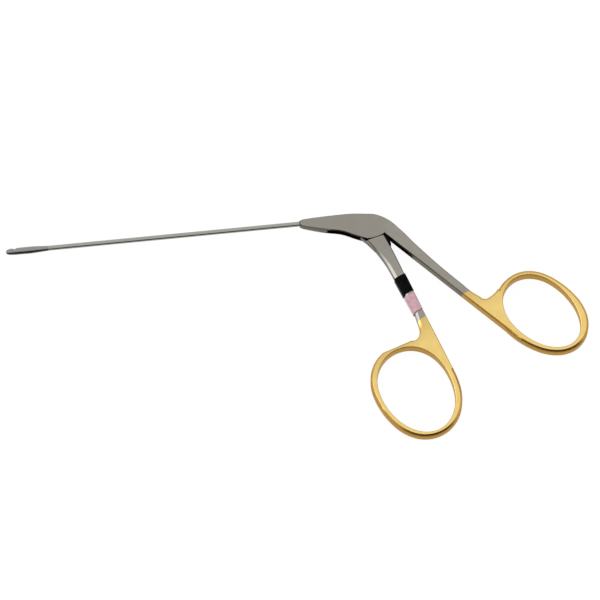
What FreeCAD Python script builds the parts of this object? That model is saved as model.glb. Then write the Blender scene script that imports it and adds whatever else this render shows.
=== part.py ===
"""Arthroscopic forceps: thin straight shaft, cup jaws and two offset finger rings.

Frame: millimetres. The instrument lies flat on its side. X runs along the shaft from the jaws to
the handle, Y points away from the rings and Z is up, through the thickness of the handles. The
origin is on the shaft axis, at the face of the nose, half way through the thickness. The jaws are
modelled closed.
"""
import FreeCAD, Part
import math
import os

from FreeCAD import Vector

# Handles: both are cut from flat forgings of one thickness, and the body thins to its nose
handle_thickness = 5.2
nose_thickness = 3.5
taper_start = 16.0
handle_edge_bevel = 0.35
ring_edge_bevel = 0.55

# Finger rings: half length and half width of each opening, and the steel at its end and side
rear_ring_centre = (78.36, -39.85)
rear_ring_tilt = -48.1
rear_ring_half_length = 14.89
rear_ring_half_width = 10.19
rear_ring_walls = (1.95, 2.05)
rear_outline_centre = (78.36, -40.05)
rear_outline_tilt = -41.3
front_ring_centre = (33.49, -62.92)
front_ring_tilt = -65.6
front_ring_half_length = 15.49
front_ring_half_width = 11.93
front_ring_walls = (1.8, 2.1)
front_outline_centre = (33.62, -62.66)
front_ring_flat = [(20.5, -49.71), (35.5, -44.8)]
front_outline_tilt = -64.7
ring_taper = -0.07
opening_fullness = 0.024
outline_fullness = 0.062
ring_steps = 8

# Body slot, sawn from below by a disc cutter, and its pocket for the rod's end
slot_width = 3.3
cutter_radius = 17.5
cutter_centre = (19.53, -17.41)
pocket_play = 0.08
pocket_height = 0.56

# Front handle: pivot, tongue and driving finger
pivot_centre = (22.2, -4.75)
pivot_pin_diameter = 2.4
pivot_play = 0.03
tongue_side_play = 0.05
tongue_boss_radius = 3.0
finger_centre = (19.8, -0.3)
finger_radius = 0.32
finger_root_depth = 0.85
finger_root_left = 0.12
finger_root_right = 0.46
finger_waist_depth = 0.35
finger_fork_depth = 0.42
finger_play = 0.04
handle_opening = 11.0

# Shaft
shaft_length = 100.0
tube_diameter = 1.7
tube_wall = 0.2
tube_socket_depth = 5.0
rod_diameter = 0.8
rod_play = 0.05

# Grooved end of the rod
collar_radius = 0.5
collar_length = 0.4
neck_radius = 0.24
neck_side_play = 0.06

# Head with the fixed cup
head_diameter = 2.35
head_length = 9.4
head_taper_length = 5.0
head_spigot_length = 3.0
jaw_slot_width = 1.0
jaw_slot_into_cup = 0.8
jaw_slot_run_out = 0.4
jaw_slot_floor_play = 0.06
jaw_side_play = 0.03
blade_side_play = 0.02
cup_length = 3.3
nose_shape = [(0.03, 0.32), (0.13, 0.65), (0.4, 0.88), (1.0, 1.0)]
parting_height = 0.12
jaw_gap = 0.03
cup_wall = 0.4
cup_floor = 0.52
window_length = 2.0
window_from_tip = 6.8
window_width = 0.7

# Moving jaw, its pivot and the rod's tip pin
jaw_pivot_from_tip = 4.2
jaw_pivot_height = -0.4
jaw_pin_diameter = 0.56
jaw_pin_play = 0.02
jaw_boss_wall = 0.19
tip_pin_height = 0.5
tip_pin_diameter = 0.5
tip_pin_play = 0.04
tang_wall = 0.19
cheek_radius = 1.24
cheek_play = 0.06
jaw_neck_top = 0.62
jaw_neck_into_cup = 1.1
jaw_neck_low = -0.1
jaw_neck_slope = 0.3
opening_margin = 2.0
blade_wall = 0.11
blade_length = 4.0
blade_shoulder = (1.6, 0.9)
blade_neck_step = 0.15
blade_socket = 0.6
blade_clearance = (0.2, 0.12)

# Shank of the front handle: its edges as distances along its axis and offsets from it
shank_start = (26.3, -10.0)
shank_angle = -68.23
shank_rear_edge = [(-1.8, 2.5), (3.3, 2.62), (14.0, 2.25), (30.8, 1.75), (51.0, 1.3)]
shank_front_edge = [(-2.6, -3.15), (1.3, -2.25), (6.9, -1.45), (13.0, -1.3), (29.2, -1.33)]

# Marking sleeves on the shank
black_band_start = 13.6
black_band_end = 20.2
black_band_thickness = 0.25
pink_band_start = 20.8
pink_band_end = 27.9
pink_band_thickness = 0.15

half_thickness = handle_thickness / 2
far_away = 60.0


def on_plan(point, height=0.0):
    """A point of the plan view as a vector."""
    return Vector(point[0], point[1], height)


def line(start, end):
    return Part.LineSegment(on_plan(start), on_plan(end)).toShape()


def arc_from(start, heading, end):
    """The arc that leaves one point in a given direction and ends at another."""
    across = (end[0] - start[0], end[1] - start[1])
    ahead = heading[0] * across[0] + heading[1] * across[1]
    aside = heading[0] * across[1] - heading[1] * across[0]
    if abs(aside) < 0.0005:
        return line(start, end)
    radius = (ahead ** 2 + aside ** 2) / (2 * aside)
    centre = (start[0] - heading[1] * radius, start[1] + heading[0] * radius)
    middle = turned(start, centre, math.degrees(math.atan2(aside, ahead)))
    return Part.Arc(on_plan(start), on_plan(middle), on_plan(end)).toShape()


def two_arcs(start, leaving, end, arriving):
    """Two arcs that run smoothly into each other, with the direction given at both ends."""
    across = (end[0] - start[0], end[1] - start[1])
    both = (leaving[0] + arriving[0], leaving[1] + arriving[1])
    along = across[0] * both[0] + across[1] * both[1]
    span = across[0] ** 2 + across[1] ** 2
    bend = 2 * (1 - leaving[0] * arriving[0] - leaving[1] * arriving[1])
    if bend < 0.000001:
        reach = span / (2 * along)
    else:
        reach = (math.sqrt(along ** 2 + bend * span) - along) / bend
    joint = (
        (start[0] + end[0] + reach * (leaving[0] - arriving[0])) / 2,
        (start[1] + end[1] + reach * (leaving[1] - arriving[1])) / 2,
    )
    back = (-arriving[0], -arriving[1])
    return [arc_from(start, leaving, joint), arc_from(end, back, joint)]


def unit(across, up):
    length = math.hypot(across, up)
    return across / length, up / length


def curve(points):
    """A smooth run of arcs through plan points."""
    headings = []
    for before, here, after in zip(points, points[1:], points[2:]):
        first = (here[0] - before[0], here[1] - before[1])
        second = (after[0] - here[0], after[1] - here[1])
        weight = math.hypot(*second) / math.hypot(*first)
        headings.append(unit(first[0] * weight + second[0] / weight, first[1] * weight + second[1] / weight))

    def mirrored(heading, start, end):
        chord = unit(end[0] - start[0], end[1] - start[1])
        along = 2 * (heading[0] * chord[0] + heading[1] * chord[1])
        return along * chord[0] - heading[0], along * chord[1] - heading[1]

    headings.insert(0, mirrored(headings[0], points[0], points[1]))
    headings.append(mirrored(headings[-1], points[-2], points[-1]))
    arcs = []
    for place in range(len(points) - 1):
        arcs += two_arcs(points[place], headings[place], points[place + 1], headings[place + 1])
    return arcs


def plate(face, low, high):
    """Raise a flat face from one height to another."""
    lifted = face.copy()
    lifted.translate(Vector(0, 0, low))
    return lifted.extrude(Vector(0, 0, high - low))


def polygon(points):
    closed = points + points[:1]
    return Part.Face(Part.makePolygon([on_plan(point) for point in closed]))


def pin_z(centre, radius, low, high):
    """A round pin across the instrument."""
    return Part.makeCylinder(radius, high - low, on_plan(centre, low), Vector(0, 0, 1))


def rod_x(radius, start, end, height=0.0):
    """A round rod along the shaft."""
    return Part.makeCylinder(radius, end - start, Vector(start, height, 0), Vector(1, 0, 0))


def block(x_range, y_range, z_range):
    sizes = [high - low for low, high in (x_range, y_range, z_range)]
    corner = Vector(x_range[0], y_range[0], z_range[0])
    return Part.makeBox(*sizes, corner)


def turned(point, centre, degrees):
    """A plan point turned about a centre."""
    angle = math.radians(degrees)
    across = point[0] - centre[0]
    up = point[1] - centre[1]
    return (
        centre[0] + across * math.cos(angle) - up * math.sin(angle),
        centre[1] + across * math.sin(angle) + up * math.cos(angle),
    )


def ring_face(centre, half_length, half_width, tilt, fullness):
    """An egg-shaped oval, a little fuller than an ellipse."""
    def place(turn):
        along = half_length * math.cos(turn) * (1 + fullness * math.sin(turn) ** 2)
        across = half_width * math.sin(turn) * (1 + fullness * math.cos(turn) ** 2)
        across *= 1 + ring_taper * math.cos(turn)
        return turned((centre[0] + along, centre[1] + across), centre, tilt)

    points = []
    headings = []
    for step in range(ring_steps):
        turn = 2 * math.pi * step / ring_steps
        points.append(place(turn))
        ahead = place(turn + 0.001)
        behind = place(turn - 0.001)
        headings.append(unit(ahead[0] - behind[0], ahead[1] - behind[1]))
    arcs = []
    for step in range(ring_steps):
        arcs += two_arcs(points[step - 1], headings[step - 1], points[step], headings[step])
    return Part.Face(Part.Wire(arcs))


def is_upright(edge):
    box = edge.BoundBox
    return box.ZLength > 2 and box.XLength < 0.001 and box.YLength < 0.001


def bevelled(solid, size, sharp=()):
    """Break the edges of a plate's outline where it meets the two broad faces, but not those named sharp."""
    edges = []
    for edge in solid.Edges:
        middle = edge.valueAt((edge.FirstParameter + edge.LastParameter) / 2)
        crease = edge.BoundBox.XLength < 0.001 and abs(middle.x - taper_start) < 0.001
        left_sharp = any(math.dist((middle.x, middle.y), point) < 0.01 for point in sharp)
        if not is_upright(edge) and not crease and not left_sharp:
            edges.append(edge)
    return solid.makeChamfer(size, edges)


def save(shape, name):
    shape.exportStep("parts/" + name + ".step")


# Positions worked out from the sizes above
pivot = pivot_centre
finger_arm = math.hypot(finger_centre[0] - pivot[0], finger_centre[1] - pivot[1])
finger_lean = math.atan2(pivot[0] - finger_centre[0], finger_centre[1] - pivot[1])
rod_travel = finger_arm * (math.sin(finger_lean) - math.sin(finger_lean - math.radians(handle_opening)))
tip = -shaft_length
jaw_pivot = (tip + jaw_pivot_from_tip, jaw_pivot_height)
tip_pin_arm = tip_pin_height - jaw_pivot_height
jaw_opening = math.degrees(2 * math.atan(rod_travel / 2 / tip_pin_arm))
tip_pin = (jaw_pivot[0] - rod_travel / 2, tip_pin_height)
head_radius = head_diameter / 2
head_end = tip + head_length
taper_end = head_end + head_taper_length
tube_radius = tube_diameter / 2
tube_bore = tube_radius - tube_wall
rod_radius = rod_diameter / 2
rod_bore = rod_radius + rod_play
blade_tip_radius = tip_pin_diameter / 2 + blade_wall
groove_half = finger_radius + finger_play
pocket_start = finger_centre[0] - groove_half - collar_length - pocket_play
pocket_end = finger_centre[0] + rod_travel + groove_half + collar_length + pocket_play


def thinned_to_nose(body):
    """Thin the front of the body on both faces, in one long sweep."""
    reach = 20.0
    drop = half_thickness - nose_thickness / 2
    sweep_radius = (taper_start ** 2 + drop ** 2) / (2 * drop)
    left = block((-1.0, taper_start), (-reach, reach), (half_thickness - sweep_radius / 8, far_away))
    wheel_end = Vector(taper_start, reach, half_thickness - sweep_radius)
    wheel = Part.makeCylinder(sweep_radius, 2 * reach, wheel_end, Vector(0, -1, 0))
    above = left.cut(wheel)
    below = above.mirror(Vector(0, 0, 0), Vector(0, 0, 1))
    return body.cut([above, below])


def fixed_handle():
    """Nose, body, rear arm and rear ring in one forging, slotted from below."""
    notch = (28.35, -6.85)
    nose_top = (1.1, 1.03)
    nose_bottom = (1.1, -1.45)
    belly = (22.3, -8.25)
    ring_x, ring_y = rear_ring_centre
    arm_end = (ring_x - 11.76, ring_y + 8.25)
    arm_heel = (ring_x - 9.96, ring_y - 7.45)
    crotch_end = (ring_x - 14.06, ring_y + 9.55)
    edges = [line((0.0, -0.85), (0.0, 0.6)), line((0.0, 0.6), nose_top)]
    back = [(9.0, 1.2), (21.0, 0.87), (26.6, -0.15), (30.3, -2.4), (33.5, -5.75), (38.3, -11.65), (51.0, -25.75)]
    crotch = [(57.2, -31.8), (59.7, -33.35), (ring_x - 16.26, ring_y + 7.5), crotch_end]
    edges += curve([nose_top] + back + crotch)
    edges += [line(crotch_end, arm_end), line(arm_end, arm_heel), line(arm_heel, notch)]
    edges += curve([notch, (24.6, -8.05), belly])
    edges += curve([belly, (19.0, -6.9), (14.0, -4.65), (8.6, -3.5), nose_bottom])
    edges.append(line(nose_bottom, (0.0, -0.85)))
    outline = Part.Wire(edges)
    end_wall, side_wall = rear_ring_walls
    ring_outline = ring_face(rear_outline_centre, rear_ring_half_length + end_wall,
                             rear_ring_half_width + side_wall, rear_outline_tilt, outline_fullness)
    ring = plate(ring_outline, -half_thickness, half_thickness)
    arm = plate(Part.Face(outline), -half_thickness, half_thickness)
    arm = bevelled(thinned_to_nose(arm), handle_edge_bevel)
    body = arm.fuse(bevelled(ring, ring_edge_bevel))
    opening = ring_face(rear_ring_centre, rear_ring_half_length, rear_ring_half_width, rear_ring_tilt,
                        opening_fullness)
    body = body.cut(plate(opening, -far_away, far_away))
    half_slot = slot_width / 2
    body = body.cut(pin_z(cutter_centre, cutter_radius, -half_slot, half_slot))
    body = body.cut(block((pocket_start, pocket_end), (-6.0, pocket_height), (-half_slot, half_slot)))
    body = body.cut(pin_z(pivot, pivot_pin_diameter / 2, -far_away, far_away))
    body = body.cut(rod_x(tube_radius, -1.0, tube_socket_depth))
    return body.cut(rod_x(rod_bore, 0.0, pocket_start + 0.1))


def shank_point(distance, offset):
    """A plan point given along and across the shank."""
    angle = math.radians(shank_angle)
    return (
        shank_start[0] + distance * math.cos(angle) - offset * math.sin(angle),
        shank_start[1] + distance * math.sin(angle) + offset * math.cos(angle),
    )


def offset_at(edge, distance):
    """Offset of one edge of the shank at a distance along it."""
    for (start, low), (end, high) in zip(edge, edge[1:]):
        if start <= distance <= end:
            return low + (high - low) * (distance - start) / (end - start)
    return edge[-1][1]


def shank_face():
    """Plan view of the shank, flared where it runs out into the ring."""
    rear = [shank_point(*place) for place in shank_rear_edge]
    front = [shank_point(*place) for place in shank_front_edge]
    front += [(36.5, -42.4), (35.7, -44.8), (33.8, -45.85), (31.9, -46.45), (30.2, -47.4)]
    ring_side = [(33.0, -52.5), (42.5, -57.0)]
    edges = [line(front[0], rear[0])] + curve(rear)
    edges += [line(rear[-1], ring_side[1]), line(ring_side[1], ring_side[0]), line(ring_side[0], front[-1])]
    return Part.Face(Part.Wire(edges + curve(front[::-1])))


def tongue():
    """Disc round the pivot, with a lever up to the rod and a root down to the shank."""
    centre_x, centre_y = finger_centre
    root_left = (centre_x - finger_root_left, centre_y - finger_root_depth)
    root_right = (centre_x + finger_root_right, centre_y - finger_root_depth)
    waist_right = (centre_x + finger_radius, centre_y - finger_waist_depth)
    half_tongue = slot_width / 2 - tongue_side_play
    disc = pin_z(pivot, tongue_boss_radius, -half_tongue, half_tongue)
    lever = polygon([root_left, (19.3, -3.9), (22.2, -4.4), (22.3, -1.76), root_right])
    finger = polygon([
        (centre_x - finger_radius, centre_y), root_left, root_right, waist_right,
        (centre_x + finger_radius, centre_y),
    ])
    knob = pin_z(finger_centre, finger_radius, -half_tongue, half_tongue)
    root = polygon([(19.25, -5.2), (20.2, -7.3), (21.9, -8.9), (23.3, -10.6), (24.6, -12.2), (29.4, -12.3),
                    (30.15, -10.7), (29.5, -7.7), (27.6, -5.6), (25.0, -3.8)])
    flat_parts = [plate(face, -half_tongue, half_tongue) for face in (lever, finger, root)]
    solid = disc.fuse([knob] + flat_parts).removeSplitter()
    channel_floor = centre_y - finger_fork_depth
    half_channel = neck_radius + neck_side_play
    channel = block((centre_x - 1.2, centre_x + 1.2), (channel_floor, 2.0), (-half_channel, half_channel))
    return solid.cut(channel)


def front_handle():
    """Tongue, shank and front ring in one forging."""
    end_wall, side_wall = front_ring_walls
    ring_outline = ring_face(front_outline_centre, front_ring_half_length + end_wall,
                             front_ring_half_width + side_wall, front_outline_tilt, outline_fullness)
    left, right = front_ring_flat
    above_flat = polygon([left, right, (right[0], right[1] + 5), (left[0], left[1] + 8)])
    ring = plate(ring_outline.cut(above_flat).Faces[0], -half_thickness, half_thickness)
    shank = plate(shank_face(), -half_thickness, half_thickness)
    ends = [shank_point(*shank_front_edge[0]), shank_point(*shank_rear_edge[0])]
    shoulder = ((ends[0][0] + ends[1][0]) / 2, (ends[0][1] + ends[1][1]) / 2)
    shank = bevelled(shank, handle_edge_bevel, sharp=[shoulder])
    handle = shank.fuse(bevelled(ring, ring_edge_bevel))
    opening = ring_face(front_ring_centre, front_ring_half_length, front_ring_half_width, front_ring_tilt,
                        opening_fullness)
    handle = handle.cut(plate(opening, -far_away, far_away))
    handle = handle.fuse(tongue())
    return handle.cut(pin_z(pivot, pivot_pin_diameter / 2 + pivot_play, -far_away, far_away))


def band(handle, start, end, thickness):
    """A thin sleeve shrunk on the shank between two distances along it."""
    middle = (start + end) / 2
    front = [(place, offset_at(shank_front_edge, place) - thickness) for place in (start, middle, end)]
    rear = [(place, offset_at(shank_rear_edge, place) + thickness) for place in (end, middle, start)]
    height = half_thickness + thickness
    sleeve = plate(polygon([shank_point(*place) for place in front + rear]), -height, height)
    long_edges = []
    for edge in sleeve.Edges:
        flat = edge.BoundBox.ZLength < 0.001
        steep = edge.BoundBox.YLength > edge.BoundBox.XLength
        if flat and steep:
            long_edges.append(edge)
    return sleeve.makeChamfer(handle_edge_bevel + thickness / 2, long_edges).cut(handle)


def turned_solid(profile):
    """Turn a profile of (place, radius) points about the shaft's axis."""
    return polygon(profile).revolve(Vector(0, 0, 0), Vector(1, 0, 0), 360)


def head_outline():
    """The round envelope of the head and both cups."""
    nose = [(tip, 0.0)]
    for along, share in nose_shape:
        nose.append((tip + cup_length * along, head_radius * share))
    return turned_solid(nose + [(head_end, head_radius), (taper_end, tube_radius), (taper_end, 0.0)])


def cup_hollow():
    """The hollow that the two closed cups share, cut with a form tool."""
    front = tip + cup_wall
    back = tip + cup_length
    depth = head_radius - cup_floor
    ends = (back - front) / 4
    return turned_solid([(front, 0.0), (front + ends, depth), (back - ends, depth), (back, 0.0)])


def lower_jaw():
    """Fixed cup, slotted neck and spigot, turned from one bar."""
    head = head_outline()
    half_slot = jaw_slot_width / 2
    spigot = rod_x(tube_bore, taper_end - 0.5, taper_end + head_spigot_length)
    head = head.fuse(spigot)
    above_cup = block((tip - 1, jaw_pivot[0]), (parting_height, 3.0), (-3, 3))
    above_cup = above_cup.cut(pin_z(jaw_pivot, cheek_radius, -3, 3))
    head = head.cut(above_cup)
    head = head.cut(cup_hollow())
    slot_start = tip + cup_length - jaw_slot_into_cup
    slot_floor = jaw_pivot_height - jaw_pin_diameter / 2 - jaw_boss_wall - jaw_slot_floor_play
    slot_end = head_end + jaw_slot_run_out
    head = head.cut(block((slot_start, slot_end), (slot_floor, 3.0), (-half_slot, half_slot)))
    window = block((tip + window_from_tip, tip + window_from_tip + window_length), (-3.0, 0.0),
                   (-window_width / 2, window_width / 2))
    head = head.cut(window)
    head = head.cut(rod_x(rod_bore, head_end, taper_end + head_spigot_length + 1))
    return head.cut(pin_z(jaw_pivot, jaw_pin_diameter / 2, -3, 3))


def upper_jaw():
    """Moving cup, with a neck and a slotted tang that stay inside the head's slot."""
    clear = cheek_radius + cheek_play
    lean = jaw_opening + opening_margin
    envelope = head_outline()
    above = block((tip - 1, jaw_pivot[0] + 3), (parting_height + jaw_gap, 3.0), (-3, 3))
    reach = 8.0
    ahead = polygon([
        jaw_pivot,
        turned((jaw_pivot[0], jaw_pivot[1] + reach), jaw_pivot, lean),
        (jaw_pivot[0] - reach, jaw_pivot[1] - 0.5),
    ])
    cup = envelope.common(above).common(plate(ahead, -3, 3)).cut(pin_z(jaw_pivot, clear, -3, 3))
    half_neck = jaw_slot_width / 2 - jaw_side_play
    boss_radius = jaw_pin_diameter / 2 + jaw_boss_wall
    arm_low = tip_pin_arm - tip_pin_play
    arm_high = tip_pin_arm / math.cos(math.radians(jaw_opening / 2)) + tip_pin_play
    slot_radius = tip_pin_diameter / 2 + tip_pin_play
    tang_lean = math.degrees(math.atan2(rod_travel / 2, tip_pin_arm))

    def up_the_tang(distance, side=0.0):
        point = (jaw_pivot[0] + side, jaw_pivot[1] + distance)
        return turned(point, jaw_pivot, tang_lean)

    tang_end = pin_z(up_the_tang(arm_high), slot_radius + tang_wall, blade_side_play, half_neck)
    tang_bar = plate(polygon([
        up_the_tang(0, -boss_radius), up_the_tang(arm_high, -slot_radius - tang_wall),
        up_the_tang(arm_high, slot_radius + tang_wall), up_the_tang(0, boss_radius),
    ]), blade_side_play, half_neck)
    boss = pin_z(jaw_pivot, boss_radius, -half_neck, half_neck)
    neck_front = tip + cup_length - jaw_neck_into_cup
    neck_side = polygon([
        (jaw_pivot[0], jaw_pivot[1] - boss_radius), (neck_front, jaw_neck_low),
        (neck_front, jaw_neck_top),
        up_the_tang(arm_high, slot_radius + tang_wall - jaw_neck_slope), jaw_pivot,
    ])
    blade_room = tip_pin[0] - blade_tip_radius - blade_clearance[0]
    under_blade = tip_pin_height - blade_tip_radius - blade_clearance[1]
    neck = plate(neck_side, -half_neck, half_neck)
    relief = block((blade_room, jaw_pivot[0] + 3), (under_blade, 3.0), (-3, blade_side_play))
    neck = neck.cut(relief)
    jaw = cup.fuse([neck, boss, tang_end, tang_bar]).cut(cup_hollow())
    for distance in (arm_low, arm_high):
        jaw = jaw.cut(pin_z(up_the_tang(distance), slot_radius, -3, 3))
    jaw = jaw.cut(plate(polygon([
        up_the_tang(arm_low, -slot_radius), up_the_tang(arm_high, -slot_radius),
        up_the_tang(arm_high, slot_radius), up_the_tang(arm_low, slot_radius),
    ]), -3, 3))
    return jaw.cut(pin_z(jaw_pivot, jaw_pin_diameter / 2 + jaw_pin_play, -3, 3))


def rod_blade():
    """Flat tip of the rod, beside the tang, with a round socket part behind it."""
    half_neck = jaw_slot_width / 2 - jaw_side_play
    rear = tip_pin[0] + blade_length
    tip_round = pin_z(tip_pin, blade_tip_radius, -half_neck, -blade_side_play)
    top = tip_pin[1] + blade_tip_radius
    low = tip_pin[1] - blade_tip_radius
    half_width = rod_radius - blade_neck_step
    step_start, step_end = rear - blade_shoulder[0], rear - blade_shoulder[1]
    flat = plate(polygon([
        (tip_pin[0], top), (step_start, top), (step_end, half_width), (rear, half_width),
        (rear, -half_width), (step_end, -half_width), (step_start, low), (tip_pin[0], low),
    ]), -half_neck, -blade_side_play)
    blade = tip_round.fuse([flat, rod_x(rod_radius, rear - blade_socket, rear)])
    return blade.cut(pin_z(tip_pin, tip_pin_diameter / 2, -3, 3))


def rod_end():
    """Two collars with a groove between them, turned on a short socket."""
    centre_x = finger_centre[0]
    front = centre_x - groove_half - collar_length
    end = rod_x(neck_radius, front, centre_x + groove_half + collar_length)
    end = end.fuse(rod_x(collar_radius, front, centre_x - groove_half))
    end = end.fuse(rod_x(collar_radius, centre_x + groove_half, centre_x + groove_half + collar_length))
    return end, front


def trimmed_pin(centre, radius, envelope):
    """A pin filed flush with the round of the head."""
    return pin_z(centre, radius, -3, 3).common(envelope)


os.makedirs("parts", exist_ok=True)

handle = front_handle()
save(fixed_handle(), "fixed_handle")
save(handle, "front_handle")
save(pin_z(pivot, pivot_pin_diameter / 2, -half_thickness, half_thickness), "handle_pivot_pin")
save(band(handle, black_band_start, black_band_end, black_band_thickness), "black_band")
save(band(handle, pink_band_start, pink_band_end, pink_band_thickness), "pink_band")

tube = rod_x(tube_radius, taper_end, tube_socket_depth)
save(tube.cut(rod_x(tube_bore, taper_end - 1, tube_socket_depth + 1)), "shaft_tube")
grooved, rod_end_front = rod_end()
save(grooved, "rod_end")
blade_rear = tip_pin[0] + blade_length
save(rod_x(rod_radius, blade_rear, rod_end_front), "drive_rod")
save(rod_blade(), "rod_blade")
tip_pin_half = jaw_slot_width / 2 - jaw_side_play
save(pin_z(tip_pin, tip_pin_diameter / 2, -tip_pin_half, tip_pin_half), "rod_tip_pin")

save(lower_jaw(), "lower_jaw")
save(upper_jaw(), "upper_jaw")
save(trimmed_pin(jaw_pivot, jaw_pin_diameter / 2, head_outline()), "jaw_pivot_pin")

print("rod travel %.4f mm, jaw opening %.3f degrees" % (rod_travel, jaw_opening))
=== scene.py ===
import math
import bmesh
import bpy
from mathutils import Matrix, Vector


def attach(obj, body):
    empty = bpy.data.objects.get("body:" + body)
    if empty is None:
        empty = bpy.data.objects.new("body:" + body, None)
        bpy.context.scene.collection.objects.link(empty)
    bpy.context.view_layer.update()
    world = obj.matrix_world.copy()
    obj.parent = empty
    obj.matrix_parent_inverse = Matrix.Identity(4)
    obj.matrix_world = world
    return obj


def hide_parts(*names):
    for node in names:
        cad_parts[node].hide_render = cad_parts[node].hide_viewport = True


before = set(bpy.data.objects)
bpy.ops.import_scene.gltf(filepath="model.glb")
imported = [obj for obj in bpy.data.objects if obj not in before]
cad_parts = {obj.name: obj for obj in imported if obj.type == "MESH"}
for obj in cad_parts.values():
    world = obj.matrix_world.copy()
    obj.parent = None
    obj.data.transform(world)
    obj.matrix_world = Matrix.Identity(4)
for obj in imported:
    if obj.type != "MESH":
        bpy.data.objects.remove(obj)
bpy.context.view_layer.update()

mm = 0.001

# Fixed handle. The nose, body, rear arm and thumb ring are one hot forging in martensitic stainless steel,
# 5.2 mm thick, ground along its edges and satin blasted. The ring and the end of its arm are gold plated
# by dipping, so the gold stops on a straight line across the arm.

PIVOT = (22.2, -4.75)
REAR_RING = (78.36, -39.85)
HANDLE_HALF = 2.6 * mm
NEAR_TOP = 0.02 * mm
RING_RIM_ROUND = 0.5 * mm
RING_EXTRA = 0.35 * mm
ARM_EXTRA = 0.3 * mm


def linear(hex_colour):
    """An sRGB colour such as #A09C94 as the linear RGBA that shaders take."""
    parts = [int(hex_colour[at:at + 2], 16) / 255 for at in (1, 3, 5)]
    return [part / 12.92 if part <= 0.04045 else ((part + 0.055) / 1.055) ** 2.4 for part in parts] + [1.0]


def put(tree, kind, settings=None, sockets=None):
    """Add one node, set its options, and fill its sockets with values or with links."""
    node = tree.nodes.new(kind)
    for name, value in (settings or {}).items():
        setattr(node, name, value)
    for name, value in (sockets or {}).items():
        if isinstance(value, bpy.types.NodeSocket):
            tree.links.new(value, node.inputs[name])
        else:
            node.inputs[name].default_value = value
    return node


def merged_copy(node, *cuts):
    """The node's own shape as one closed skin. Its flat faces are whole again, apart from seams that run
    through its holes. A cut is a point in millimetres and a direction in degrees, in plan."""
    skin = bmesh.new()
    skin.from_mesh(node.data)
    bmesh.ops.remove_doubles(skin, verts=skin.verts, dist=0.002 * mm)
    for point, heading in cuts:
        angle = math.radians(heading)
        everything = skin.verts[:] + skin.edges[:] + skin.faces[:]
        seam = bmesh.ops.bisect_plane(skin, geom=everything, dist=0.0001 * mm,
                                      plane_co=(point[0] * mm, point[1] * mm, 0),
                                      plane_no=(-math.sin(angle), math.cos(angle), 0))["geom_cut"]
        for edge in seam:
            if isinstance(edge, bmesh.types.BMEdge):
                edge.seam = True
    bmesh.ops.dissolve_limit(skin, angle_limit=math.radians(0.6), verts=skin.verts, edges=skin.edges,
                             delimit={"SEAM"})
    return skin


def finished(skin, name, material, body, *nodes):
    """Turn a skin into a piece with soft edges, on its body and in place of its nodes."""
    mesh = bpy.data.meshes.new(name)
    skin.to_mesh(mesh)
    skin.free()
    if "custom_normal" in mesh.attributes:
        mesh.attributes.remove(mesh.attributes["custom_normal"])
    mesh.materials.clear()
    mesh.materials.append(material)
    for face in mesh.polygons:
        face.material_index = 0
    mesh.shade_smooth()
    mesh.set_sharp_from_angle(angle=math.radians(52))
    piece = bpy.data.objects.new(name, mesh)
    bpy.context.scene.collection.objects.link(piece)
    soft = piece.modifiers.new("even_shading", "WEIGHTED_NORMAL")
    soft.keep_sharp = True
    soft.weight = 60
    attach(piece, body)
    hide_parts(*nodes)
    return piece


def rim_rounded(skin, rim_place):
    """Round the rims of the finger opening, as the fingers need."""
    rims = []
    for edge in skin.edges:
        high = all(abs(abs(corner.co.z) - HANDLE_HALF) < NEAR_TOP for corner in edge.verts)
        if high and edge.calc_face_angle() > 1.2 and rim_place(edge.verts[0].co):
            rims.append(edge)
    bmesh.ops.bevel(skin, geom=rims, offset=RING_RIM_ROUND, offset_type="OFFSET", segments=4, profile=0.5,
                    affect="EDGES", material=-1, clamp_overlap=False)
    return skin


def bevels_widened(skin, extra):
    """Widen the 45 degree bevels, so that their soft shading reads as the round of a ground edge. The extra
    width is a function of the corner's place."""
    moves = []
    for corner in skin.verts:
        bevels = [face.normal for face in corner.link_faces if 0.5 < abs(face.normal.z) < 0.9]
        flats = [face for face in corner.link_faces if abs(face.normal.z) > 0.99]
        walls = [face for face in corner.link_faces if abs(face.normal.z) < 0.1]
        if not bevels:
            continue
        width = extra(corner.co)
        if flats and not walls:
            outward = Vector((0, 0))
            for slope in bevels:
                outward += slope.xy.normalized() / len(bevels)
            if outward.length > 0.7:
                moves.append((corner, (-outward * width / outward.length_squared).to_3d()))
        elif walls and not flats:
            moves.append((corner, Vector((0, 0, -math.copysign(width, corner.co.z)))))
    for corner, step in moves:
        corner.co += step
    skin.normal_update()
    return skin


def bevels_split(skin, where):
    """Give the bevels more lines along them, so that their middle keeps its own slope and their edges are soft."""
    across = []
    for edge in skin.edges:
        low, high = sorted(abs(corner.co.z) for corner in edge.verts)
        if high > HANDLE_HALF - NEAR_TOP and low < HANDLE_HALF - 0.2 * mm and where(edge.verts[0].co):
            if any(0.5 < abs(face.normal.z) < 0.9 for face in edge.link_faces):
                across.append(edge)
    bmesh.ops.subdivide_edges(skin, edges=across, cuts=3)
    return skin


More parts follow.
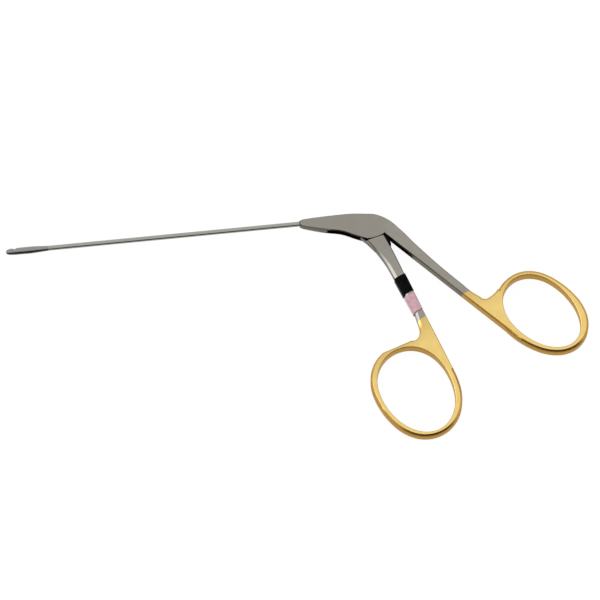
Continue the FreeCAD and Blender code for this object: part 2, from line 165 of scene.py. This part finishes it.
def handle_metal(name, plating_edge, plating_heading, tone_axis, tone_from, tone_to, tones, sawn):
    """Satin blasted stainless steel, gold plated past a straight line. The blast gives a fine even grain and
    a broad sheen, walls, bevels and lips carry painted shade that makes them darker than the ground faces, and the
    gold warms away from its edge."""
    material = bpy.data.materials.new(name)
    material.use_nodes = True
    tree = material.node_tree
    shader = tree.nodes["Principled BSDF"]
    place = put(tree, "ShaderNodeTexCoord")
    axes = put(tree, "ShaderNodeSeparateXYZ", sockets={"Vector": place.outputs["Object"]})

    # how far a point is past the plating line, in metres
    past = put(tree, "ShaderNodeVectorMath", {"operation": "SUBTRACT"},
               {0: place.outputs["Object"], 1: (plating_edge[0] * mm, plating_edge[1] * mm, HANDLE_HALF)})
    depth = put(tree, "ShaderNodeVectorMath", {"operation": "DOT_PRODUCT"},
                {0: past.outputs["Vector"], 1: (*plating_heading, -0.12)})
    ragged = put(tree, "ShaderNodeTexNoise", sockets={"Vector": place.outputs["Object"], "Scale": 1 / (1.4 * mm),
                                                      "Detail": 2.0})
    wander = put(tree, "ShaderNodeMapRange", sockets={"Value": ragged.outputs["Fac"], "From Min": 0.3, "From Max": 0.7,
                                                      "To Min": -0.12 * mm, "To Max": 0.12 * mm})
    shifted = put(tree, "ShaderNodeMath", {"operation": "ADD"},
                  {0: depth.outputs["Value"], 1: wander.outputs["Result"]})
    plated = put(tree, "ShaderNodeMapRange", {"interpolation_type": "SMOOTHSTEP"},
                 {"Value": shifted.outputs["Value"], "From Min": -0.1 * mm, "From Max": 0.1 * mm})

    # steel: two tones of the ground face, joined by a slow change along the handle
    along = put(tree, "ShaderNodeMapRange", {"interpolation_type": "SMOOTHSTEP"},
                {"Value": axes.outputs[tone_axis], "From Min": tone_from * mm, "From Max": tone_to * mm})
    steel = put(tree, "ShaderNodeMix", {"data_type": "RGBA"},
                {"Factor": along.outputs["Result"], 6: linear(tones[0]), 7: linear(tones[1])})
    warming = put(tree, "ShaderNodeMapRange", {"interpolation_type": "SMOOTHSTEP"},
                  {"Value": depth.outputs["Value"], "From Min": 0.0, "From Max": 9 * mm})
    gold = put(tree, "ShaderNodeMix", {"data_type": "RGBA"},
               {"Factor": warming.outputs["Result"], 6: linear("#EBCB7C"), 7: linear("#FFDE8A")})
    face = put(tree, "ShaderNodeMix", {"data_type": "RGBA"},
               {"Factor": plated.outputs["Result"], 6: steel.outputs[2], 7: gold.outputs[2]})
    # painted shade: the walls are drawn darker than the ground faces
    wall_shade_tone = put(tree, "ShaderNodeMix", {"data_type": "RGBA"},
               {"Factor": plated.outputs["Result"], 6: linear("#635F57"), 7: linear("#A67E3E")})

    # lips of the sawn slot, on the walls that face the rings, are painted near black as painted shade
    lip_start = put(tree, "ShaderNodeMapRange", {"interpolation_type": "SMOOTHSTEP"},
                    {"Value": axes.outputs["X"], "From Min": sawn[1] * mm, "From Max": (sawn[1] - 0.5) * mm})
    lip_end = put(tree, "ShaderNodeMapRange", {"interpolation_type": "SMOOTHSTEP"},
                  {"Value": axes.outputs["X"], "From Min": sawn[0] * mm, "From Max": (sawn[0] + 2.0) * mm})
    lip_shade = put(tree, "ShaderNodeMath", {"operation": "MULTIPLY"},
              {0: lip_start.outputs["Result"], 1: lip_end.outputs["Result"]})

    # walls, bevels and ground faces each have their tone, and the gold is redder along the bevels. The walls' tone is
    # painted shade, and the bevels' darker, redder tone is a painted reflection of a dark horizon.
    facing = put(tree, "ShaderNodeSeparateXYZ", sockets={"Vector": place.outputs["Normal"]})
    upright = put(tree, "ShaderNodeMath", {"operation": "ABSOLUTE"}, {0: facing.outputs["Z"]})
    ground = put(tree, "ShaderNodeMapRange", {"interpolation_type": "SMOOTHSTEP"},
                 {"Value": upright.outputs["Value"], "From Min": 0.25, "From Max": 0.65})
    # painted reflection: the bevels are drawn darker and, on the gold, redder
    edge = put(tree, "ShaderNodeMix", {"data_type": "RGBA"},
               {"Factor": plated.outputs["Result"], 6: linear("#908B81"), 7: linear("#CC9A4C")})
    level_part = put(tree, "ShaderNodeMapRange", {"interpolation_type": "SMOOTHSTEP"},
                     {"Value": upright.outputs["Value"], "From Min": 0.72, "From Max": 0.84})
    top = put(tree, "ShaderNodeMix", {"data_type": "RGBA"},
              {"Factor": level_part.outputs["Result"], 6: edge.outputs[2], 7: face.outputs[2]})
    colour = put(tree, "ShaderNodeMix", {"data_type": "RGBA"},
                 {"Factor": ground.outputs["Result"], 6: wall_shade_tone.outputs[2], 7: top.outputs[2]})
    beside = put(tree, "ShaderNodeMapRange", {"interpolation_type": "SMOOTHSTEP"},
                 {"Value": upright.outputs["Value"], "From Min": 0.65, "From Max": 0.35})
    lip_shade = put(tree, "ShaderNodeMath", {"operation": "MULTIPLY"},
              {0: lip_shade.outputs["Value"], 1: beside.outputs["Result"]})
    below = put(tree, "ShaderNodeMapRange", {"interpolation_type": "SMOOTHSTEP"},
                {"Value": facing.outputs["Y"], "From Min": 0.1, "From Max": -0.2})
    lip_shade = put(tree, "ShaderNodeMath", {"operation": "MULTIPLY"},
              {0: lip_shade.outputs["Value"], 1: below.outputs["Result"]})
    # painted shade on the slot's lips
    colour = put(tree, "ShaderNodeMix", {"data_type": "RGBA"},
                 {"Factor": lip_shade.outputs["Value"], 6: colour.outputs[2], 7: linear("#0B0A09")})

    # inside the slot, above the shank's shoulder and behind the shank, the steel is painted black as painted shade
    height = put(tree, "ShaderNodeMath", {"operation": "ABSOLUTE"}, {0: axes.outputs["Z"]})
    deep = put(tree, "ShaderNodeMapRange", sockets={"Value": height.outputs["Value"], "From Min": 1.72 * mm,
                                                    "From Max": 1.66 * mm})
    behind = put(tree, "ShaderNodeMapRange", {"interpolation_type": "SMOOTHSTEP"},
                 {"Value": axes.outputs["X"], "From Min": 26.6 * mm, "From Max": 27.6 * mm})
    level = put(tree, "ShaderNodeMath", {"operation": "MULTIPLY_ADD"},
                {0: axes.outputs["X"], 1: -0.277, 2: axes.outputs["Y"]})
    shoulder = put(tree, "ShaderNodeMapRange", {"interpolation_type": "SMOOTHSTEP"},
                   {"Value": level.outputs["Value"], "From Min": -15.2 * mm, "From Max": -14.6 * mm})
    behind = put(tree, "ShaderNodeMath", {"operation": "MAXIMUM"},
                 {0: behind.outputs["Result"], 1: shoulder.outputs["Result"]})
    above = put(tree, "ShaderNodeMapRange", {"interpolation_type": "SMOOTHSTEP"},
                {"Value": axes.outputs["Y"], "From Min": -14.5 * mm, "From Max": -13.0 * mm})
    slot_shade = put(tree, "ShaderNodeMath", {"operation": "MULTIPLY"},
                 {0: deep.outputs["Result"], 1: behind.outputs["Value"]})
    slot_shade = put(tree, "ShaderNodeMath", {"operation": "MULTIPLY"},
                 {0: slot_shade.outputs["Value"], 1: above.outputs["Result"]})
    slot_shade = put(tree, "ShaderNodeMath", {"operation": "MULTIPLY"},
                 {0: slot_shade.outputs["Value"], 1: ground.outputs["Result"]})
    # painted shade inside the slot
    colour = put(tree, "ShaderNodeMix", {"data_type": "RGBA"},
                 {"Factor": slot_shade.outputs["Value"], 6: colour.outputs[2], 7: linear("#12110F")})

    # cloudy tone about 3 mm across, as a hand leaves on blasted steel
    cloud = put(tree, "ShaderNodeTexNoise", sockets={"Vector": place.outputs["Object"], "Scale": 1 / (3.2 * mm),
                                                     "Detail": 3.0, "Roughness": 0.55})
    shade = put(tree, "ShaderNodeMapRange", sockets={"Value": cloud.outputs["Fac"], "From Min": 0.3, "From Max": 0.7})
    drift = put(tree, "ShaderNodeMix", {"data_type": "RGBA"},
                {"Factor": shade.outputs["Result"], 6: (0.965, 0.945, 0.95, 1), 7: (1.01, 1.035, 1.02, 1)})
    toned = put(tree, "ShaderNodeMix", {"data_type": "RGBA", "blend_type": "MULTIPLY"},
                {"Factor": 1.0, 6: colour.outputs[2], 7: drift.outputs[2]})
    tree.links.new(toned.outputs[2], shader.inputs["Base Color"])

    # blast grain: glass beads of about 0.1 mm, drawn at 0.16 mm so that it shows
    grain = put(tree, "ShaderNodeTexNoise", sockets={"Vector": place.outputs["Object"], "Scale": 1 / (0.16 * mm),
                                                     "Detail": 2.0})
    sheen = put(tree, "ShaderNodeMapRange", sockets={"Value": grain.outputs["Fac"], "From Min": 0.3, "From Max": 0.7,
                                                     "To Min": 0.26, "To Max": 0.33})
    tree.links.new(sheen.outputs["Result"], shader.inputs["Roughness"])
    relief = put(tree, "ShaderNodeBump", sockets={"Height": grain.outputs["Fac"], "Strength": 0.25,
                                                  "Distance": 0.004 * mm})
    tree.links.new(relief.outputs["Normal"], shader.inputs["Normal"])
    edge_tint = put(tree, "ShaderNodeMix", {"data_type": "RGBA"},
                    {"Factor": plated.outputs["Result"], 6: linear("#DAD6CE"), 7: linear("#FCE9C3")})
    tree.links.new(edge_tint.outputs[2], shader.inputs["Specular Tint"])
    shader.inputs["Metallic"].default_value = 1.0
    return material


body_metal = handle_metal("satin_steel_gold_dipped_rear", (53.3, -30.62), (0.324, -0.946), "X", 26.0, 34.0,
                          ("#9E9991", "#A4A096"), (9.0, 37.6))

body_skin = rim_rounded(merged_copy(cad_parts["fixed_handle"], (PIVOT, 90), (REAR_RING, 41.9)),
                        lambda corner: corner.x > 60 * mm)


def body_extra(place):
    """Wide on the ring, narrower on the arm, as it is on the body, and nearly sharp along the slot's lips."""
    x, y = place.x / mm, place.y / mm
    if x > 66:
        return RING_EXTRA
    if 9 < x < 33 and y < -1.2 - 0.28 * (x - 9):
        return -0.22 * mm
    return ARM_EXTRA * min(1.0, max(0.0, (x - 34) / 5))


bevels_widened(body_skin, body_extra)
bevels_split(body_skin, lambda place: place.x > 33 * mm)
finished(body_skin, "body_forging", body_metal, "body", "fixed_handle")

# Front handle. Shank and finger ring are one forging of the same steel, with a flat tongue that runs up
# into the body's slot. Its long edges are rounded by hand, and its ring is gold plated like the other one.

FRONT_RING = (33.49, -62.92)
SHANK_TOP = (26.3, -10.0)
SHANK_WAY = (0.3709, -0.9287)
NO_SAW_CUT = (-99.0, -90.0)

front_metal = handle_metal("satin_steel_gold_dipped_front", (37.74, -38.18), (0.55, -0.835), "Y", -10.0, -22.0,
                           ("#9F9B94", "#A5A199"), NO_SAW_CUT)

front_skin = rim_rounded(merged_copy(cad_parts["front_handle"], (PIVOT, 0), (FRONT_RING, 24.4)),
                         lambda corner: corner.y < -45 * mm)

bevels_widened(front_skin, lambda place: RING_EXTRA * min(1.0, max(0.0, (-50 - place.y / mm) / 5)))


def jaw_side_rounded(skin, inward, down):
    """The shank's side towards the jaws is ground off to a broad round, from below the shoulder to the ring. The
    two measures say how far the round reaches on the face and down the wall."""
    for corner in skin.verts:
        x, y = corner.co.x / mm - SHANK_TOP[0], corner.co.y / mm - SHANK_TOP[1]
        along = x * SHANK_WAY[0] + y * SHANK_WAY[1]
        aside = y * SHANK_WAY[0] - x * SHANK_WAY[1]
        if along < 0 or along > 36 or aside > -0.2 or abs(corner.co.z) < 1.9 * mm:
            continue
        share = min(1.0, along / 9, (36 - along) / 6)
        if abs(corner.co.z) > 2.5 * mm:
            corner.co.x -= SHANK_WAY[1] * inward * share
            corner.co.y += SHANK_WAY[0] * inward * share
        else:
            corner.co.z -= math.copysign(down * share, corner.co.z)
    skin.normal_update()
    return skin


jaw_side_rounded(front_skin, 0.75 * mm, 0.32 * mm)
bevels_split(front_skin, lambda place: True)
finished(front_skin, "front_forging", front_metal, "lever", "front_handle")

# Black sleeve. A ring of matt black silicone tube, 0.25 mm thick, slipped over the shank as a colour mark.

SHANK_LINE = ((32.7, -25.6), -68.23)
BAND_ROUND = (0.75 * mm, 0.5 * mm)

sleeve_rubber = bpy.data.materials.new("matt_black_silicone")
sleeve_rubber.use_nodes = True
tree = sleeve_rubber.node_tree
shader = tree.nodes["Principled BSDF"]
place = put(tree, "ShaderNodeTexCoord")
dust = put(tree, "ShaderNodeTexNoise", sockets={"Vector": place.outputs["Object"], "Scale": 1 / (0.8 * mm),
                                                "Detail": 4.0})
tint = put(tree, "ShaderNodeMapRange", sockets={"Value": dust.outputs["Fac"], "From Min": 0.3, "From Max": 0.7})
black = put(tree, "ShaderNodeMix", {"data_type": "RGBA"},
            {"Factor": tint.outputs["Result"], 6: linear("#050506"), 7: linear("#0E0E10")})
tree.links.new(black.outputs[2], shader.inputs["Base Color"])
shader.inputs["Roughness"].default_value = 0.48
shader.inputs["Specular IOR Level"].default_value = 0.03
skin_relief = put(tree, "ShaderNodeBump", sockets={"Height": dust.outputs["Fac"], "Strength": 0.3,
                                                   "Distance": 0.03 * mm})
tree.links.new(skin_relief.outputs["Normal"], shader.inputs["Normal"])
sleeve_skin = jaw_side_rounded(merged_copy(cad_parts["black_band"], SHANK_LINE), *BAND_ROUND)
finished(sleeve_skin, "silicone_sleeve", sleeve_rubber, "lever", "black_band")

# Pink tape. Instrument marking tape, a thin glossy vinyl film wound once round the shank, a little creased.

TAPE_END = 27.9
TORN_PULL = 0.6
TORN_SWING = 0.25

tape_film = bpy.data.materials.new("pink_marking_tape")
tape_film.use_nodes = True
tree = tape_film.node_tree
shader = tree.nodes["Principled BSDF"]
place = put(tree, "ShaderNodeTexCoord")
crease = put(tree, "ShaderNodeTexNoise", sockets={"Vector": place.outputs["Object"], "Scale": 1 / (2.2 * mm),
                                                  "Detail": 3.0, "Distortion": 0.8})
tint = put(tree, "ShaderNodeMapRange", sockets={"Value": crease.outputs["Fac"], "From Min": 0.32, "From Max": 0.68})
pink = put(tree, "ShaderNodeMix", {"data_type": "RGBA"},
           {"Factor": tint.outputs["Result"], 6: linear("#C99CA6"), 7: linear("#DDB5BF")})
fold = put(tree, "ShaderNodeTexNoise", sockets={"Vector": place.outputs["Object"], "Scale": 1 / (1.6 * mm),
                                                "Detail": 1.0, "Distortion": 0.5})
fold_line = put(tree, "ShaderNodeMath", {"operation": "COMPARE"}, {0: fold.outputs["Fac"], 1: 0.56, 2: 0.006})
down = put(tree, "ShaderNodeVectorMath", {"operation": "DOT_PRODUCT"},
           {0: place.outputs["Object"], 1: (*SHANK_WAY, 0)})
end_at = (SHANK_TOP[0] * SHANK_WAY[0] + SHANK_TOP[1] * SHANK_WAY[1] + TAPE_END) * mm
# the film is drawn darker over its last millimetre before the torn end, and along thin fold lines
darker_near_end = put(tree, "ShaderNodeMapRange", {"interpolation_type": "SMOOTHSTEP"},
             {"Value": down.outputs["Value"], "From Min": end_at - 1.0 * mm, "From Max": end_at - 0.45 * mm,
              "To Max": 0.75})
marks = put(tree, "ShaderNodeMath", {"operation": "MULTIPLY_ADD", "use_clamp": True},
            {0: fold_line.outputs["Value"], 1: 0.3, 2: darker_near_end.outputs["Result"]})
marked_pink = put(tree, "ShaderNodeMix", {"data_type": "RGBA"},
                {"Factor": marks.outputs["Value"], 6: pink.outputs[2], 7: linear("#94706C")})
tree.links.new(marked_pink.outputs[2], shader.inputs["Base Color"])
shader.inputs["Roughness"].default_value = 0.34
shader.inputs["Specular IOR Level"].default_value = 0.3
film_relief = put(tree, "ShaderNodeBump", sockets={"Height": crease.outputs["Fac"], "Strength": 0.6,
                                                   "Distance": 0.12 * mm})
tree.links.new(film_relief.outputs["Normal"], shader.inputs["Normal"])
tape_skin = jaw_side_rounded(merged_copy(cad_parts["pink_band"], SHANK_LINE), *BAND_ROUND)


def along_shank(place):
    """Millimetres down the shank from its top."""
    return (place.x / mm - SHANK_TOP[0]) * SHANK_WAY[0] + (place.y / mm - SHANK_TOP[1]) * SHANK_WAY[1]


# its lower edge is pulled up unevenly where it was torn off
torn = [edge for edge in tape_skin.edges
        if all(along_shank(corner.co) > TAPE_END - 0.3 for corner in edge.verts) and edge.calc_length() > 0.6 * mm]
bmesh.ops.subdivide_edges(tape_skin, edges=torn, cuts=7)
for corner in tape_skin.verts:
    if along_shank(corner.co) > TAPE_END - 0.3:
        x, y = corner.co.x / mm - SHANK_TOP[0], corner.co.y / mm - SHANK_TOP[1]
        aside = x * SHANK_WAY[1] * -1 + y * SHANK_WAY[0]
        pull = TORN_PULL + TORN_SWING * math.cos(aside * 3.4 + 0.6) - 0.05 * corner.co.z / mm
        corner.co.x -= SHANK_WAY[0] * pull * mm
        corner.co.y -= SHANK_WAY[1] * pull * mm
finished(tape_skin, "vinyl_tape", tape_film, "lever", "pink_band")

# Pivot pin. A steel pin pressed through the body and filed flush with both faces, so that only a faint
# ring shows.

pin_metal = handle_metal("satin_steel_pin", (400.0, -400.0), (0.7, -0.7), "X", 20.0, 24.0,
                         ("#9C9790", "#9E9990"), NO_SAW_CUT)
finished(merged_copy(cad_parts["handle_pivot_pin"]), "pivot_pin", pin_metal, "body", "handle_pivot_pin")

# Shaft. Drawn stainless tube, 1.7 mm outside, polished lengthwise, brazed into the nose.


def polished_steel(name, light_tone, dark_tone, shaded_flank_tone, roughness):
    """Drawn and polished stainless steel: fine lines run along it, the tone drifts a little, and the flank
    under the ring side carries painted shade, drawn darker."""
    material = bpy.data.materials.new(name)
    material.use_nodes = True
    tree = material.node_tree
    shader = tree.nodes["Principled BSDF"]
    place = put(tree, "ShaderNodeTexCoord")
    stretch = put(tree, "ShaderNodeMapping", sockets={"Vector": place.outputs["Object"], "Scale": (0.03, 1.0, 1.0)})
    lines = put(tree, "ShaderNodeTexNoise", sockets={"Vector": stretch.outputs["Vector"], "Scale": 1 / (0.12 * mm),
                                                     "Detail": 2.0})
    tint = put(tree, "ShaderNodeMapRange", sockets={"Value": lines.outputs["Fac"], "From Min": 0.3, "From Max": 0.7})
    tone = put(tree, "ShaderNodeMix", {"data_type": "RGBA"},
               {"Factor": tint.outputs["Result"], 6: linear(dark_tone), 7: linear(light_tone)})
    side = put(tree, "ShaderNodeSeparateXYZ", sockets={"Vector": place.outputs["Normal"]})
    # painted shade: the flank that faces -Y is drawn darker
    flank = put(tree, "ShaderNodeMapRange", {"interpolation_type": "SMOOTHSTEP"},
                {"Value": side.outputs["Y"], "From Min": -0.3, "From Max": -0.75})
    flank_shaded = put(tree, "ShaderNodeMix", {"data_type": "RGBA"},
                  {"Factor": flank.outputs["Result"], 6: tone.outputs[2], 7: linear(shaded_flank_tone)})
    tree.links.new(flank_shaded.outputs[2], shader.inputs["Base Color"])
    relief = put(tree, "ShaderNodeBump", sockets={"Height": lines.outputs["Fac"], "Strength": 0.15,
                                                  "Distance": 0.004 * mm})
    tree.links.new(relief.outputs["Normal"], shader.inputs["Normal"])
    shader.inputs["Metallic"].default_value = 1.0
    shader.inputs["Roughness"].default_value = roughness
    return material


tube_steel = polished_steel("drawn_stainless_tube", "#B8B6B0", "#A3A19A", "#908E88", 0.11)
for name in ("shaft_tube", "drive_rod", "rod_end"):
    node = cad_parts[name]
    node.data.materials.clear()
    node.data.materials.append(tube_steel)

# Head and jaws. The head with its fixed cup is turned from one bar, slotted and drilled, and the moving cup
# turns on a cross pin in the slot. Both are polished, and the slot stays dark.

jaw_steel = polished_steel("polished_jaw_steel", "#ABA9A6", "#8F8D8A", "#4A4744", 0.18)
for name in ("lower_jaw", "upper_jaw", "jaw_pivot_pin", "rod_blade", "rod_tip_pin"):
    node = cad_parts[name]
    node.data.materials.clear()
    node.data.materials.append(jaw_steel)

# Studio. A white table, an even white surround, one soft box to the left, and a black card in front that
# draws the dark line along the rounded edges.

FLOOR_HEIGHT = -2.87 * mm
CAMERA_DISTANCE = 2.253

floor_mesh = bpy.data.meshes.new("table_top")
sheet = bmesh.new()
bmesh.ops.create_grid(sheet, x_segments=1, y_segments=1, size=8.0)
bmesh.ops.translate(sheet, verts=sheet.verts, vec=(0, 0, FLOOR_HEIGHT))
sheet.to_mesh(floor_mesh)
sheet.free()
floor = bpy.data.objects.new("table_top", floor_mesh)
bpy.context.scene.collection.objects.link(floor)
white = bpy.data.materials.new("white_table")
white.use_nodes = True
tree = white.node_tree
tree.nodes.clear()
path = put(tree, "ShaderNodeLightPath")
seen = put(tree, "ShaderNodeMath", {"operation": "MAXIMUM"},
           {0: path.outputs["Is Camera Ray"], 1: path.outputs["Is Glossy Ray"]})
seen = put(tree, "ShaderNodeMath", {"operation": "MAXIMUM"},
           {0: seen.outputs["Value"], 1: path.outputs["Is Transmission Ray"]})
matt = put(tree, "ShaderNodeBsdfDiffuse", sockets={"Color": (0.85, 0.85, 0.85, 1)})
faint = put(tree, "ShaderNodeBsdfDiffuse", sockets={"Color": (0.1, 0.1, 0.1, 1)})
glow = put(tree, "ShaderNodeEmission", sockets={"Color": (1, 1, 1, 1), "Strength": 0.94})
shown = put(tree, "ShaderNodeAddShader", sockets={0: faint.outputs["BSDF"], 1: glow.outputs["Emission"]})
choice = put(tree, "ShaderNodeMixShader",
             sockets={0: seen.outputs["Value"], 1: matt.outputs["BSDF"], 2: shown.outputs["Shader"]})
put(tree, "ShaderNodeOutputMaterial", sockets={"Surface": choice.outputs["Shader"]})
floor_mesh.materials.append(white)


def aimed(item, position):
    """Place an item and point it at the middle of the instrument."""
    item.location = position
    item.rotation_mode = "QUATERNION"
    item.rotation_quaternion = (Vector((0.03, -0.03, 0)) - Vector(position)).to_track_quat("-Z", "Y")


black_card = bpy.data.materials.new("black_card")
black_card.use_nodes = True
black_card.node_tree.nodes["Principled BSDF"].inputs["Base Color"].default_value = linear("#17110B")
black_card.node_tree.nodes["Principled BSDF"].inputs["Roughness"].default_value = 0.9
card_mesh = bpy.data.meshes.new("front_card")
sheet = bmesh.new()
bmesh.ops.create_grid(sheet, x_segments=1, y_segments=1, size=0.5)
bmesh.ops.scale(sheet, verts=sheet.verts, vec=(1.9, 0.62, 1.0))
sheet.to_mesh(card_mesh)
sheet.free()
card_mesh.materials.append(black_card)
card = bpy.data.objects.new("front_card", card_mesh)
bpy.context.scene.collection.objects.link(card)
aimed(card, (0.12, -0.72, 0.31))
card.visible_camera = False
card.visible_shadow = False
card.visible_diffuse = False

box_light = bpy.data.lights.new("left_soft_box", "AREA")
box_light.shape = "RECTANGLE"
box_light.size = 0.9
box_light.size_y = 0.5
box_light.energy = math.pi * 0.9 * 0.5 * 1.8
left_box = bpy.data.objects.new("left_soft_box", box_light)
bpy.context.scene.collection.objects.link(left_box)
aimed(left_box, (-1.1, 0.1, 0.75))

surround = bpy.data.worlds.new("studio_surround")
surround.use_nodes = True
surround.node_tree.nodes["Background"].inputs["Color"].default_value = (1.0, 1.0, 1.0, 1.0)
surround.node_tree.nodes["Background"].inputs["Strength"].default_value = 0.85
bpy.context.scene.world = surround

lens = bpy.data.cameras.new("long_lens")
lens.lens = 400
lens.sensor_width = 36
lens.clip_start = 0.05
lens.clip_end = 20
lens.dof.use_dof = False
camera = bpy.data.objects.new("long_lens", lens)
bpy.context.scene.collection.objects.link(camera)
bpy.context.scene.camera = camera
turn = math.radians(-5.77)
lift = math.radians(73.0)
back = Vector((math.sin(turn) * math.cos(lift), -math.cos(turn) * math.cos(lift), math.sin(lift)))
camera.location = Vector((-2.541 * mm, -26.83 * mm, 0)) + back * CAMERA_DISTANCE
camera.rotation_mode = "QUATERNION"
camera.rotation_quaternion = (-back).to_track_quat("-Z", "Y")

bpy.context.scene.view_settings.view_transform = "Standard"
